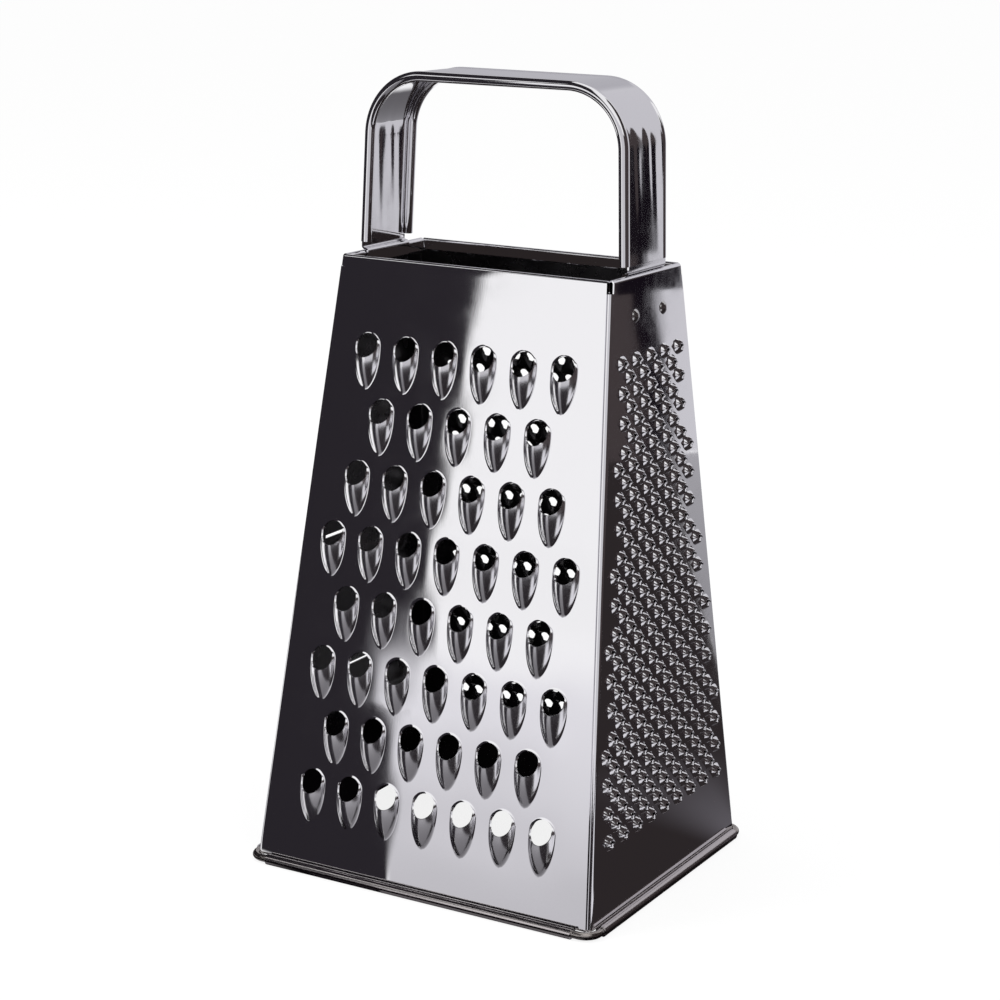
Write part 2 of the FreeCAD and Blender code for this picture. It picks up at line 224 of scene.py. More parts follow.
def merged(mesh: bpy.types.Mesh, distance: float, cuts: list[tuple[Vector, Vector]] | None = None,
           joined: bpy.types.Mesh | None = None) -> None:
    """Join another mesh to a flat one, merge doubled points, and trim the whole along straight cuts.

    Args:
        mesh: the mesh to work on.
        distance: points nearer than this become one.
        cuts: a point and an outward direction of each cut; what lies outside goes.
        joined: the other mesh, if there is one.
    """
    work = bmesh.new()
    work.from_mesh(mesh)
    if joined is not None:
        work.from_mesh(joined)
    bmesh.ops.remove_doubles(work, verts=work.verts, dist=distance)
    for point, outward in cuts or []:
        bmesh.ops.bisect_plane(work, geom=work.verts[:] + work.edges[:] + work.faces[:], dist=distance,
                               plane_co=point, plane_no=outward, clear_outer=True)
    work.to_mesh(mesh)
    work.free()
    mesh.update()


def thickened(piece: bpy.types.Object, thickness: float, crease: float, middle: bool = False) -> None:
    """Give a skin its sheet thickness, press its underside flat, and shade it smooth up to its sharp edges.

    Args:
        piece: the skin, whose faces point outwards; its second material goes on the inner side.
        thickness: the sheet's thickness in metres.
        crease: the angle in degrees above which an edge stays sharp.
        middle: whether the skin is the sheet's middle rather than its outer face.
    """
    wall = piece.modifiers.new("sheet", "SOLIDIFY")
    wall.thickness = thickness
    wall.offset = 0 if middle else -1
    wall.use_quality_normals = True
    wall.material_offset = min(1, len(piece.data.materials) - 1)
    wall.material_offset_rim = 0
    whole = bpy.data.meshes.new_from_object(piece.evaluated_get(bpy.context.evaluated_depsgraph_get()))
    skin = piece.data
    piece.modifiers.clear()
    piece.data = whole
    bpy.data.meshes.remove(skin)
    whole.name = piece.name
    points = read_points(whole)
    points[:, 2] = np.maximum(points[:, 2], 0.0)
    write_points(whole, points)
    whole.shade_smooth()
    whole.set_sharp_from_angle(angle=math.radians(crease))


@dataclass(frozen=True)
class SheetSteel:
    """Stainless sheet, roller-polished: a grey mirror with slow waves, faint polish lines and finger marks.

    Sizes and heights of the patterns are in millimetres.
    """

    name: str
    tint: str
    roughness: float
    smudge_roughness: float
    wave_size: float = 34.0
    wave_height: float = 0.010
    line_pitch: float = 0.45
    line_stretch: float = 0.03
    line_height: float = 0.00035
    smudge_size: float = 14.0
    smudge_low: float = 0.42
    smudge_high: float = 0.72
    worked_roughness: float = 0.13

    def make(self) -> bpy.types.Material:
        """Build the material.

        Returns:
            A metal whose bump carries the waves and polish lines, and whose gloss varies with smudges.
        """
        material, tree, out = blank_material(self.name)
        place = add_node(tree, "ShaderNodeTexCoord").outputs["Object"]
        # Rolled sheet is never quite flat: slow waves bend long reflections a little.
        waves = add_node(tree, "ShaderNodeTexNoise", {"Vector": place},
                         {"Scale": 1 / (self.wave_size * MM), "Detail": 1.5, "Roughness": 0.4})
        # Polishing runs along the sheet; its real pitch is far finer than a pixel, so it is drawn coarser.
        lines_at = add_node(tree, "ShaderNodeMapping", {"Vector": place},
                            {"Scale": (1.0, 1.0, self.line_stretch)})
        lines = add_node(tree, "ShaderNodeTexNoise", {"Vector": lines_at.outputs["Vector"]},
                         {"Scale": 1 / (self.line_pitch * MM), "Detail": 2.0})
        smudges = add_node(tree, "ShaderNodeTexNoise", {"Vector": place},
                           {"Scale": 1 / (self.smudge_size * MM), "Detail": 5.0, "Roughness": 0.65})
        gloss = add_node(tree, "ShaderNodeMapRange", {"Value": smudges.outputs["Fac"]},
                         {"From Min": self.smudge_low, "From Max": self.smudge_high, "To Min": self.roughness,
                          "To Max": self.smudge_roughness}, clamp=True)
        # Where punching has stretched the sheet its polish is duller.
        worked = add_node(tree, "ShaderNodeAttribute", attribute_name="worked")
        gloss = add_node(tree, "ShaderNodeMath", {0: worked.outputs["Fac"], 2: gloss.outputs["Result"]},
                         {1: self.worked_roughness}, operation="MULTIPLY_ADD")
        bent = add_node(tree, "ShaderNodeBump", {"Height": waves.outputs["Fac"]},
                        {"Strength": 1.0, "Distance": self.wave_height * MM})
        lined = add_node(tree, "ShaderNodeBump",
                         {"Height": lines.outputs["Fac"], "Normal": bent.outputs["Normal"]},
                         {"Strength": 1.0, "Distance": self.line_height * MM})
        metal = add_node(tree, "ShaderNodeBsdfPrincipled",
                         {"Roughness": gloss.outputs["Value"], "Normal": lined.outputs["Normal"]},
                         {"Base Color": linear(self.tint), "Metallic": 1.0})
        tree.links.new(metal.outputs["BSDF"], out.inputs["Surface"])
        return material


@dataclass(frozen=True)
class DrawnSteel:
    """Stainless steel drawn or headed in a die: satin grey with fine draw marks, sized in millimetres."""

    name: str
    tint: str
    roughness: float
    mark_size: float
    mark_height: float
    smoothest: float = 0.75
    roughest: float = 1.3

    def make(self) -> bpy.types.Material:
        """Build the material.

        Returns:
            A satin metal with die marks in its bump and gloss.
        """
        material, tree, out = blank_material(self.name)
        place = add_node(tree, "ShaderNodeTexCoord").outputs["Object"]
        marks = add_node(tree, "ShaderNodeTexNoise", {"Vector": place},
                         {"Scale": 1 / (self.mark_size * MM), "Detail": 4.0, "Roughness": 0.6})
        gloss = add_node(tree, "ShaderNodeMapRange", {"Value": marks.outputs["Fac"]},
                         {"From Min": 0.3, "From Max": 0.7, "To Min": self.roughness * self.smoothest,
                          "To Max": self.roughness * self.roughest}, clamp=True)
        bump = add_node(tree, "ShaderNodeBump", {"Height": marks.outputs["Fac"]},
                        {"Strength": 1.0, "Distance": self.mark_height * MM})
        metal = add_node(tree, "ShaderNodeBsdfPrincipled",
                         {"Roughness": gloss.outputs["Result"], "Normal": bump.outputs["Normal"]},
                         {"Base Color": linear(self.tint), "Metallic": 1.0})
        tree.links.new(metal.outputs["BSDF"], out.inputs["Surface"])
        return material


class Finishes:
    """The finishes of the grater."""

    def __init__(self) -> None:
        """Make each finish once."""
        self.mirror = SheetSteel("stainless_sheet_mirror_polished", "#EFEEF1", 0.03, 0.07).make()
        # The inner side's dark tint is partly its duller mill finish and partly painted shade, so the box's
        # inside reads dark.
        self.inside = SheetSteel("stainless_sheet_mill_finish_and_painted_shade", "#858385", 0.24, 0.34,
                                 line_height=0.002, worked_roughness=0.0).make()
        self.bead = SheetSteel("stainless_sheet_rolled_satin", "#C4BEBE", 0.15, 0.22,
                               line_height=0.001, worked_roughness=0.0).make()
        self.handle = SheetSteel("stainless_strap_polished", "#E8E7EA", 0.04, 0.08,
                                 wave_size=16.0, wave_height=0.006).make()
        self.wire = DrawnSteel("stainless_wire_drawn", "#AAA4A0", 0.26, 1.4, 0.004).make()
        self.rivet = DrawnSteel("stainless_rivet_headed", "#CBC9C8", 0.2, 0.9, 0.004).make()


class Side(Enum):
    """The four sides of the box, as turns about the upright axis in degrees."""

    FRONT = 0
    RIGHT = 90
    REAR = 180
    LEFT = 270

    def is_broad(self) -> bool:
        """Whether it is the front or the rear."""
        return self in (Side.FRONT, Side.REAR)


@dataclass(frozen=True)
class Box:
    """Sizes of the box in millimetres, over the outer faces of its four sheets."""

    base_width: float = 105.2
    base_depth: float = 89.8
    rim_width: float = 82.2
    rim_depth: float = 41.5
    rim_height: float = 168.5
    wire_height: float = 1.45
    sheet: float = 0.4
    curl_radius: float = 1.15
    curl_turn: float = 300.0
    notch: float = 0.75

    def across(self, side: Side) -> tuple[float, float]:
        """Base and rim widths of a side."""
        return (self.base_width, self.rim_width) if side.is_broad() else (self.base_depth, self.rim_depth)

    def through(self, side: Side) -> tuple[float, float]:
        """Base and rim distances from a side to the one behind it."""
        return (self.base_depth, self.rim_depth) if side.is_broad() else (self.base_width, self.rim_width)

    def run(self, side: Side) -> float:
        """How far a side leans in from base to rim."""
        base, rim = self.through(side)
        return (base - rim) / 2

    def lean(self, side: Side) -> float:
        """A side's lean from upright, in radians."""
        return math.atan2(self.run(side), self.rim_height - self.wire_height)

    def slope(self, side: Side) -> float:
        """A side's height measured up its own slope."""
        return math.hypot(self.run(side), self.rim_height - self.wire_height)

    def half_width(self, side: Side, y: Any) -> Any:
        """Half the width between a side's corner lines at a height up its slope."""
        base, rim = self.across(side)
        return (base + (rim - base) * y / self.slope(side)) / 2

    def stand(self, side: Side, points: Points) -> Points:
        """Stand points of a sheet's flat frame on their side of the box.

        The flat frame has x across, y up the slope and z outward. It is tipped up to its lean, moved out to
        its side and turned round the upright axis.

        Args:
            side: which side of the box.
            points: points in millimetres.

        Returns:
            Points in metres in the shared frame, with the underside pressed flat on the table.
        """
        lean = self.lean(side)
        x, y, z = points.T
        out = y * math.sin(lean) - z * math.cos(lean) - self.through(side)[0] / 2
        up = np.maximum(y * math.cos(lean) + z * math.sin(lean) + self.wire_height, 0.0)
        turn = math.radians(side.value)
        return np.stack([x * math.cos(turn) - out * math.sin(turn),
                         x * math.sin(turn) + out * math.cos(turn), up], axis=-1) * MM


@dataclass(frozen=True)
class Waves:
    """Slow waves that punching leaves in a sheet; each length is the millimetres of one radian."""

    across: float
    slant: float
    start: float
    up: float
    up_start: float
    share: float = 0.0
    third_across: float = math.inf
    third_up: float = math.inf

    def at(self, x: Points, y: Points) -> Points:
        """Height of the waves: a slanting sine times an upright one, plus a share of a third.

        Args:
            x: places across.
            y: places up.

        Returns:
            The height at each place, about one at the most.
        """
        slanting = np.sin(x / self.across + y / self.slant + self.start)
        third = np.sin(x / self.third_across + y / self.third_up)
        return slanting * np.sin(y / self.up + self.up_start) + self.share * third


@dataclass(frozen=True)
class Scoop:
    """A scoop tooth about the centre of its hole: a round hole whose lower rim is drawn out to a lip."""

    hole_radius: float
    half_width: float
    lift: float
    tail: float
    bulge: float
    collar: float
    fillet: float
    body_rings: int
    fillet_rings: int
    outer_rings: int
    tip_fillet: float = 1.8
    collar_ends: float = 32.0
    collar_ease: float = 24.0
    crest_samples: int = 200
    foot_samples: int = 300

    def radius(self) -> float:
        """Radius of the scoop's section at the hole: the circle through both feet and the lip."""
        return (self.half_width ** 2 + self.lift ** 2) / (2 * self.lift)

    def crest(self, t: Points) -> Points:
        """Radius of the scoop's round section at a distance below the hole's centre.

        The fall from lip to tip is a line, or an arc that stands a bulge outside it.

        Args:
            t: distances below the centre.

        Returns:
            The section's radius there.
        """
        chord = math.hypot(self.tail, self.lift)
        along = np.linspace(0.0, 1.0, self.crest_samples)
        out = 4 * self.bulge * along * (1 - along)
        down = self.tail * along + out * self.lift / chord
        level = self.radius() - self.lift * along + out * self.tail / chord
        return np.interp(t, down, level)

    def body(self, x: Points, y: Points) -> Points:
        """Height of the scoop's back above the sheet: the section's circle less the depth of its axis."""
        return np.sqrt(np.maximum(self.crest(-y) ** 2 - x * x, 0.0)) - (self.radius() - self.lift)

    def outline(self, share: Points) -> Points:
        """The foot line of the scoop, from the left of the hole round the tip to the right.

        At each level the foot is where the section's circle meets the sheet.

        Args:
            share: places along the line by length, from 0 to 1.

        Returns:
            Points across and up.
        """
        t = self.tail * (1 - np.linspace(1.0, 0.0, self.foot_samples) ** 2)
        wide = np.sqrt(np.maximum(self.crest(t) ** 2 - (self.radius() - self.lift) ** 2, 0.0))
        wide[-1] = 0.0
        x = np.concatenate([-wide, wide[-2::-1]])
        y = np.concatenate([-t, -t[-2::-1]])
        length = np.concatenate([[0.0], np.cumsum(np.hypot(np.diff(x), np.diff(y)))])
        at = share * length[-1]
        return np.stack([np.interp(at, length, x), np.interp(at, length, y)], axis=-1)

    def patch(self, half_x: float, above: float, below: float, nx: int, ny: int) -> Patch:
        """One cell of sheet with its tooth, as rings that run from the hole's rim out to the cell's edge.

        Every ring has one point for each point of the cell's edge. The rings between the rim and the foot
        line carry the round back, the next ones a fillet whose height is a square of the distance from its
        outer end and which widens towards the tip, and the last ones the flat. Over the top of the hole the
        rim is a low drawn collar.

        Args:
            half_x: half the cell's width.
            above: the cell's height above the hole's centre.
            below: the cell's depth below it.
            nx: steps along the cell's top and bottom.
            ny: steps along its sides.

        Returns:
            Points about the hole's centre, and quads.
        """
        rise = np.linspace(-below, above, ny + 1)[:-1]
        level = np.linspace(half_x, -half_x, nx + 1)[:-1]
        edge = np.concatenate([np.stack([np.full(ny, half_x), rise], -1),
                               np.stack([level, np.full(nx, above)], -1),
                               np.stack([np.full(ny, -half_x), rise[::-1] + (above + below) / ny], -1),
                               np.stack([-level, np.full(nx, -below)], -1)])
        start = ny * below / (above + below)
        keys = np.array([-nx / 2, start, ny + nx / 2, 2 * ny + nx - start, 2 * ny + 1.5 * nx,
                         start + 2 * (ny + nx)])
        angle = np.interp(np.arange(len(edge)), keys, np.radians([-90, 0, 90, 180, 270, 360]))
        turn = np.degrees(angle) % 360
        around = np.stack([np.cos(angle), np.sin(angle)], -1)
        rim = self.hole_radius * around
        upper = turn <= 180
        foot = np.where(upper[:, None], self.half_width * around, self.outline(np.clip(turn / 180 - 1, 0, 1)))
        fillet = (self.fillet * (1 + self.tip_fillet * smooth(-foot[:, 1] / self.tail)))[:, None]
        ahead = np.roll(foot, -1, 0) - np.roll(foot, 1, 0)
        inward = np.stack([-ahead[:, 1], ahead[:, 0]], -1) / np.linalg.norm(ahead, axis=1)[:, None]
        inner, outer = foot + fillet * inward, foot - fillet * inward

        over = np.where(upper, np.minimum(turn, 180 - turn), 0.0)
        side_height = self.body(np.array([self.hole_radius]), np.array([0.0]))[0]
        rim_height = self.collar + (side_height - self.collar) * (1 - smooth(over / self.collar_ends))
        upward = smooth(over / self.collar_ease)
        inner_height = np.maximum(self.body(inner[:, 0], inner[:, 1]), 0.0)
        depth = np.linalg.norm(inner - rim, axis=1)
        whole = depth + 2 * fillet[:, 0]

        rings = []
        for share in np.linspace(0, 1, self.body_rings + 1):
            flat = rim + (inner - rim) * share
            low = np.maximum(self.body(flat[:, 0], flat[:, 1]), 0.0)
            high = rim_height * (1 - share * depth / whole) ** 2
            rings.append(np.column_stack([flat, low + (high - low) * upward]))
        for share in np.linspace(0, 1, self.fillet_rings + 1)[1:]:
            flat = inner + (outer - inner) * share
            low = inner_height * (1 - share) ** 2
            high = rim_height * (1 - (depth + 2 * fillet[:, 0] * share) / whole) ** 2
            rings.append(np.column_stack([flat, low + (high - low) * upward]))
        for share in np.linspace(0, 1, self.outer_rings + 1)[1:] ** 3:
            rings.append(np.column_stack([outer + (edge - outer) * share, np.zeros(len(edge))]))
        return np.concatenate(rings), grid_faces(len(rings), len(edge), closed=True)[:, ::-1]


@dataclass(kw_only=True)
class Sheet:
    """One of the four sheets of the box: its flat, the hem along the rim and the curl round the wire.

    Sizes are in millimetres, in a flat frame with x across, y up the slope and z outward.
    """

    name: str
    node: str
    side: Side
    hem_radius: float
    hem_depth: float
    edge_inset: float
    step: float = 1.2
    curl_gap: float = 3.9
    curl_steps: int = 31
    hem_steps: int = 13
    held_foot: float = 3.0
    held_foot_fade: float = 14.0
    held_rim: float = 4.0
    held_rim_fade: float = 12.0
    flat_depth: float = 0.2
    worked_from: float = 0.03
    worked_over: float = 0.25
    box: Box = Box()

    def top(self) -> float:
        """Height up the slope where the hem begins to bend."""
        return self.box.slope(self.side) - self.hem_radius - self.box.sheet

    def hem_line(self) -> Patch:
        """Section of the hem's outer skin: a half circle over the rim, then a run down behind.

        Returns:
            Heights and outward steps.
        """
        bend = self.hem_radius + self.box.sheet
        arc = np.linspace(0, math.pi, self.hem_steps)
        behind = self.top() - self.hem_depth * np.array([0.4, 0.8, 1.0])
        y = np.concatenate([self.top() + bend * np.sin(arc), behind])
        z = np.concatenate([bend * (np.cos(arc) - 1), np.full(len(behind), -2 * bend)])
        return y, z

    def curl(self) -> Patch:
        """The foot of the sheet: straight down to the wire, then round it outward.

        Returns:
            Points and quads in the sheet's frame.
        """
        half = math.floor((self.box.across(self.side)[0] / 2 - self.curl_gap) / self.step)
        low = -self.box.curl_radius * math.tan(self.box.lean(self.side))
        arc = np.radians(np.linspace(0, self.box.curl_turn, self.curl_steps))
        y = np.concatenate([[self.box.notch], low - self.box.curl_radius * np.sin(arc)])
        z = np.concatenate([[0.0], self.box.curl_radius * (1 - np.cos(arc))])
        points, faces = carried(self.step * np.arange(-half, half + 1), y, z)
        return points, faces[:, ::-1]

    def cuts(self) -> list[tuple[Vector, Vector]]:
        """The two slanted edges of the flat, each as a point and its outward direction.

        Returns:
            A point and a direction for each edge.
        """
        base, rim = self.box.across(self.side)
        tilt = math.atan2((base - rim) / 2, self.box.slope(self.side))
        return [(Vector((way * (base / 2 - self.edge_inset), 0, 0)),
                 Vector((way * math.cos(tilt), math.sin(tilt), 0))) for way in (-1, 1)]

    def held(self, points: Points) -> Points:
        """How free the sheet is to move: one in the middle of the flat, easing to zero at hem and curl.

        Args:
            points: points in the sheet's frame.

        Returns:
            The freedom at each point.
        """
        above = smooth((points[:, 1] - self.held_foot) / self.held_foot_fade)
        below = smooth((self.box.slope(self.side) - self.held_rim - points[:, 1]) / self.held_rim_fade)
        return above * below * (points[:, 2] > -self.flat_depth)

    def satin_bead(self, mesh: bpy.types.Mesh) -> None:
        """Give the curl round the wire its satin finish: all inner faces below the curl's top.

        Args:
            mesh: the standing sheet's mesh.
        """
        middle, finish = np.empty(len(mesh.polygons) * 3), np.empty(len(mesh.polygons), np.int32)
        mesh.polygons.foreach_get("center", middle)
        mesh.polygons.foreach_get("material_index", finish)
        curl_top = (self.box.wire_height + self.box.curl_radius + self.box.sheet) * MM
        bead = (finish == 1) & (middle[2::3] < curl_top)
        mesh.polygons.foreach_set("material_index", np.where(bead, 2, finish))

    def flat(self) -> list[Patch]:
        """The flat's patches, still to be trimmed along the slanted edges."""
        raise NotImplementedError

    def edges(self) -> list[Patch]:
        """The patches that are already their final width."""
        return [self.curl()]

    def relief(self, points: Points) -> Points:
        """The height that punching adds at each point of the flat."""
        raise NotImplementedError

    def build(self, finishes: Finishes) -> bpy.types.Object:
        """Join the patches, trim the flat, bend it a little, stand it on the box and dress it.

        Args:
            finishes: the grater's finishes.

        Returns:
            The finished piece.
        """
        piece = mesh_piece(self.name, *stacked(self.flat()))
        rest = mesh_piece(self.name + "_rest", *stacked(self.edges()))
        mesh = piece.data
        merged(mesh, WELD, self.cuts())
        merged(mesh, WELD, joined=rest.data)
        bpy.data.objects.remove(rest)
        points = read_points(mesh)
        write_values(mesh, "worked", smooth((points[:, 2] - self.worked_from) / self.worked_over))
        points[:, 2] += self.relief(points)
        write_points(mesh, self.box.stand(self.side, points))
        for finish in (finishes.mirror, finishes.inside, finishes.bead):
            mesh.materials.append(finish)
        thickened(piece, self.box.sheet * MM, crease=40)
        self.satin_bead(piece.data)
        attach(piece, "root")
        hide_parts(self.node)
        return piece


@dataclass(kw_only=True)
class ToothedPanel(Sheet):
    """A front or rear sheet with staggered scoop teeth."""

    tooth: Scoop
    pitch: float
    row_pitch: float
    rows: int
    first_drop: float
    side_margin: float
    above: float
    nx: int
    ny: int
    dish: float
    hem_radius: float = 0.25
    hem_depth: float = 2.6
    edge_inset: float = 1.35
    coarser: float = 1.5
    hollow_spread: float = 0.42
    hollow_squash: float = 0.75
    hollow_drop: float = 0.3
    wave_share: float = 0.7
    waves: Waves = Waves(7.9, 41.0, 0.8, 15.5, 1.1, 0.6, 13.3, -9.1)

    def centres(self) -> Points:
        """Hole centres in the sheet's frame, row under row, each row shifted half a pitch from the last.

        Returns:
            Points across, up and out.
        """
        found = []
        for row in range(self.rows):
            y = self.box.slope(self.side) - self.first_drop - row * self.row_pitch
            reach = self.box.half_width(self.side, y) - self.side_margin - self.tooth.hole_radius
            offset = self.pitch * ((0.5 + row / 2) % 1)
            half = offset + self.pitch * np.arange(math.floor((reach - offset) / self.pitch) + 1)
            x = np.unique(np.concatenate([-half, half]))
            found.append(np.column_stack([x, np.full(len(x), y), np.zeros(len(x))]))
        return np.concatenate(found)

    def spaced(self, low: float, high: float) -> Points:
        """Heights from low to high, a little coarser than the sheet's step."""
        return np.linspace(low, high, max(3, round((high - low) / self.step / self.coarser)))

    def plain(self, centres: Points) -> Patch:
        """The sheet between and round the cells, with its hem: a grid with lines along every cell's edge.

        Args:
            centres: hole centres, whose cells are left out.

        Returns:
            Points and quads in the sheet's frame.
        """
        columns = 2 * math.ceil(self.box.across(self.side)[0] / 2 / self.step)
        head = self.box.slope(self.side) - self.first_drop + self.above
        teeth = head - self.row_pitch / self.ny * np.arange(self.rows * self.ny, -1, -1)
        hem_y, hem_z = self.hem_line()
        y = np.concatenate([self.spaced(self.box.notch, teeth[0])[:-1], teeth,
                            self.spaced(head, self.top())[1:-1], hem_y])
        z = np.concatenate([np.zeros(len(y) - len(hem_z)), hem_z])
        points, faces = carried(self.step * (np.arange(columns + 1) - columns // 2), y, z)
        middle = points[faces].mean(1)
        rise = middle[:, None, 1] - centres[None, :, 1]
        near = np.abs(middle[:, None, 0] - centres[None, :, 0]) < self.pitch / 2
        near &= (rise < self.above) & (rise > self.above - self.row_pitch)
        return points, faces[~near.any(1) | (middle[:, 2] < -1e-6)]

    def flat(self) -> list[Patch]:
        """The cells with their teeth, and the plain sheet round them.

        Returns:
            Points and quads of both.
        """
        centres = self.centres()
        cell = self.tooth.patch(self.pitch / 2, self.above, self.row_pitch - self.above, self.nx, self.ny)
        return [repeated(*cell, centres), self.plain(centres)]

    def relief(self, points: Points) -> Points:
        """How far punching has pulled the sheet about: a soft hollow round each tooth and slow waves.

        Each hollow is a bell curve of the distance from the tooth's middle, and the waves are crossed sines.

        Args:
            points: points in the sheet's frame.

        Returns:
            The height to add at each point.
        """
        x, y = points[:, 0], points[:, 1]
        drop = self.hollow_drop * self.tooth.tail
        spread = self.hollow_spread * self.pitch
        hollow = np.zeros(len(points))
        for cx, cy, _ in self.centres():
            hollow += np.exp(-((x - cx) ** 2 + (self.hollow_squash * (y - cy + drop)) ** 2) / spread ** 2)
        return self.held(points) * self.dish * (self.wave_share * self.waves.at(x, y) - hollow)


@dataclass(kw_only=True)
class SideSheet(Sheet):
    """A side sheet, whose long edges bend round the corners and lap behind the front and rear sheets."""

    hem_radius: float = 0.5
    hem_depth: float = 3.0
    edge_inset: float = 1.505
    corner_radius: float = 1.0
    lap: float = 4.5
    lap_turn: float = 89.43
    seam_foot: float = 0.8
    seam_head: float = 3.35
    long_steps: int = 24
    bend_steps: int = 9
    sway: float = 0.02
    waves: Waves = Waves(8.3, 23.0, 0.0, 17.0, 0.4, 0.5, math.inf, 8.7)

    def flanges(self) -> list[Patch]:
        """Both corner bends: a quarter circle and a straight lap, carried up the slanted edges.

        Returns:
            Points and quads of each bend.
        """
        made = []
        y = np.linspace(self.seam_foot, self.box.slope(self.side) - self.seam_head, self.long_steps)
        edge = self.box.half_width(self.side, y) - self.edge_inset
        arc = np.radians(np.linspace(0, self.lap_turn, self.bend_steps))
        out, into = np.sin(arc) * self.corner_radius, (np.cos(arc) - 1) * self.corner_radius
        out = np.append(out, out[-1] + self.lap * math.cos(arc[-1]))
        into = np.append(into, into[-1] - self.lap * math.sin(arc[-1]))
        for way in (1, -1):
            x = way * (edge[:, None] + out[None, :])
            points = np.stack([x, np.broadcast_to(y[:, None], x.shape), np.broadcast_to(into, x.shape)], -1)
            made.append((points.reshape(-1, 3), grid_faces(len(y), len(out))[:, ::way]))
        return made

    def hem(self) -> Patch:
        """The rounded hem along the rim."""
        half = self.box.half_width(self.side, self.top()) - self.edge_inset
        return carried(np.linspace(-half, half, self.long_steps), *self.hem_line())

    def edges(self) -> list[Patch]:
        """The hem, the curl and the two corner bends."""
        return [self.hem(), self.curl(), *self.flanges()]

    def relief(self, points: Points) -> Points:
        """Slow waves that punching leaves in the sheet, as crossed sines."""
        return self.held(points) * self.sway * self.waves.at(points[:, 0], points[:, 1])


@dataclass(kw_only=True)
class StarPanel(SideSheet):
    """The star-punched side: burrs torn open into four points, in a field that widens downwards."""

    pitch: float = 8.2
    row_pitch: float = 3.875
    rows: int = 33
    first_drop: float = 22.0
    field_top: float = 33.8
    field_bottom: float = 73.8
    foot_radius: float = 2.15
    mouth_radius: float = 0.85
    mouth_flare: float = 0.2
    lift: float = 1.5
    valley: float = 0.9
    flank_power: float = 1.6
    guard: float = 0.12
    squareness: float = 3.4
    edge_steps: int = 4
    half_columns: int = 12
    rows_above: int = 7
    rows_below: int = 8

    def cells(self) -> tuple[Points, Points]:
        """Centres of all diamond cells that cover the sheet, and of those that carry a burr.

        Returns:
            Centres of the plain cells and of the punched cells.
        """
        head = self.box.slope(self.side) - self.first_drop
        column, row = np.meshgrid(np.arange(-self.half_columns, self.half_columns + 1),
                                  np.arange(-self.rows_above, self.rows + self.rows_below), indexing="ij")
        keep = (column + row) % 2 == 0
        x, y = column[keep] * self.pitch / 2, head - row[keep] * self.row_pitch
        spread = (self.field_bottom - self.field_top) / ((self.rows - 1) * self.row_pitch)
        reach = (self.field_top + spread * (head - y)) / 2
        punched = (np.abs(x) <= reach + 1e-6) & (row[keep] >= 0) & (row[keep] < self.rows)
        every = np.column_stack([x, y, np.zeros(len(x))])
        return every[~punched], every[punched]

    def diamond(self) -> Points:
        """Points round a cell's edge, starting at its right corner.

        Returns:
            Points across and up.
        """
        x, y = self.pitch / 2, self.row_pitch
        corners = np.array([[x, 0], [0, y], [-x, 0], [0, -y]])
        share = np.arange(self.edge_steps)[None, :, None] / self.edge_steps
        following = np.roll(corners, -1, 0)[:, None]
        return (corners[:, None] * (1 - share) + following * share).reshape(-1, 2)

    def burr(self) -> Patch:
        """One cell with its burr, as rings from the torn mouth down the flare and out to the cell's edge.

        Its plan is a square with well rounded corners, a superellipse, so that it has four petals. Each petal
        stands higher along its middle, up to a torn point, and its flank is convex: its height is one less a
        power of the share of the way down to the foot.

        Returns:
            Points about the cell's centre, and quads.
        """
        edge = self.diamond()
        angle = np.arctan2(edge[:, 1], edge[:, 0])
        around = np.stack([np.cos(angle), np.sin(angle)], -1)
        plan = (np.abs(around) ** self.squareness).sum(1) ** (-1 / self.squareness)
        point = np.abs(np.cos(2 * angle)) ** 2
        tall = self.valley + (self.lift - self.valley) * point
        mouth = self.mouth_radius + self.mouth_flare * point
        rings = []
        for share in (0.0, 0.3, 0.65, 1.0):
            radius = plan * (mouth + (self.foot_radius - mouth) * share)
            rings.append(np.column_stack([around * radius[:, None], tall * (1 - share ** self.flank_power)]))
        for flat in (around * (plan * self.foot_radius + self.guard)[:, None], edge):
            rings.append(np.column_stack([flat, np.zeros(len(edge))]))
        return np.concatenate(rings), grid_faces(len(rings), len(edge), closed=True)[:, ::-1]

    def blank(self) -> Patch:
        """One plain cell: a small grid between its corners.

        Returns:
            Points about the cell's centre, and quads.
        """
        share = np.linspace(0, 1, self.edge_steps + 1)
        a, b = np.meshgrid(share, share, indexing="ij")
        x, y = (a - b) * self.pitch / 2, (a + b - 1) * self.row_pitch
        points = np.stack([x, y, np.zeros_like(x)], -1).reshape(-1, 3)
        return points, grid_faces(len(share), len(share))[:, ::-1]

    def cuts(self) -> list[tuple[Vector, Vector]]:
        """The slanted edges, the foot and the rim."""
        return super().cuts() + [(Vector((0, self.box.notch, 0)), Vector((0, -1, 0))),
                                 (Vector((0, self.top(), 0)), Vector((0, 1, 0)))]

    def flat(self) -> list[Patch]:
        """The cells with burrs and the plain cells round them."""
        plain, punched = self.cells()
        return [repeated(*self.burr(), punched), repeated(*self.blank(), plain)]


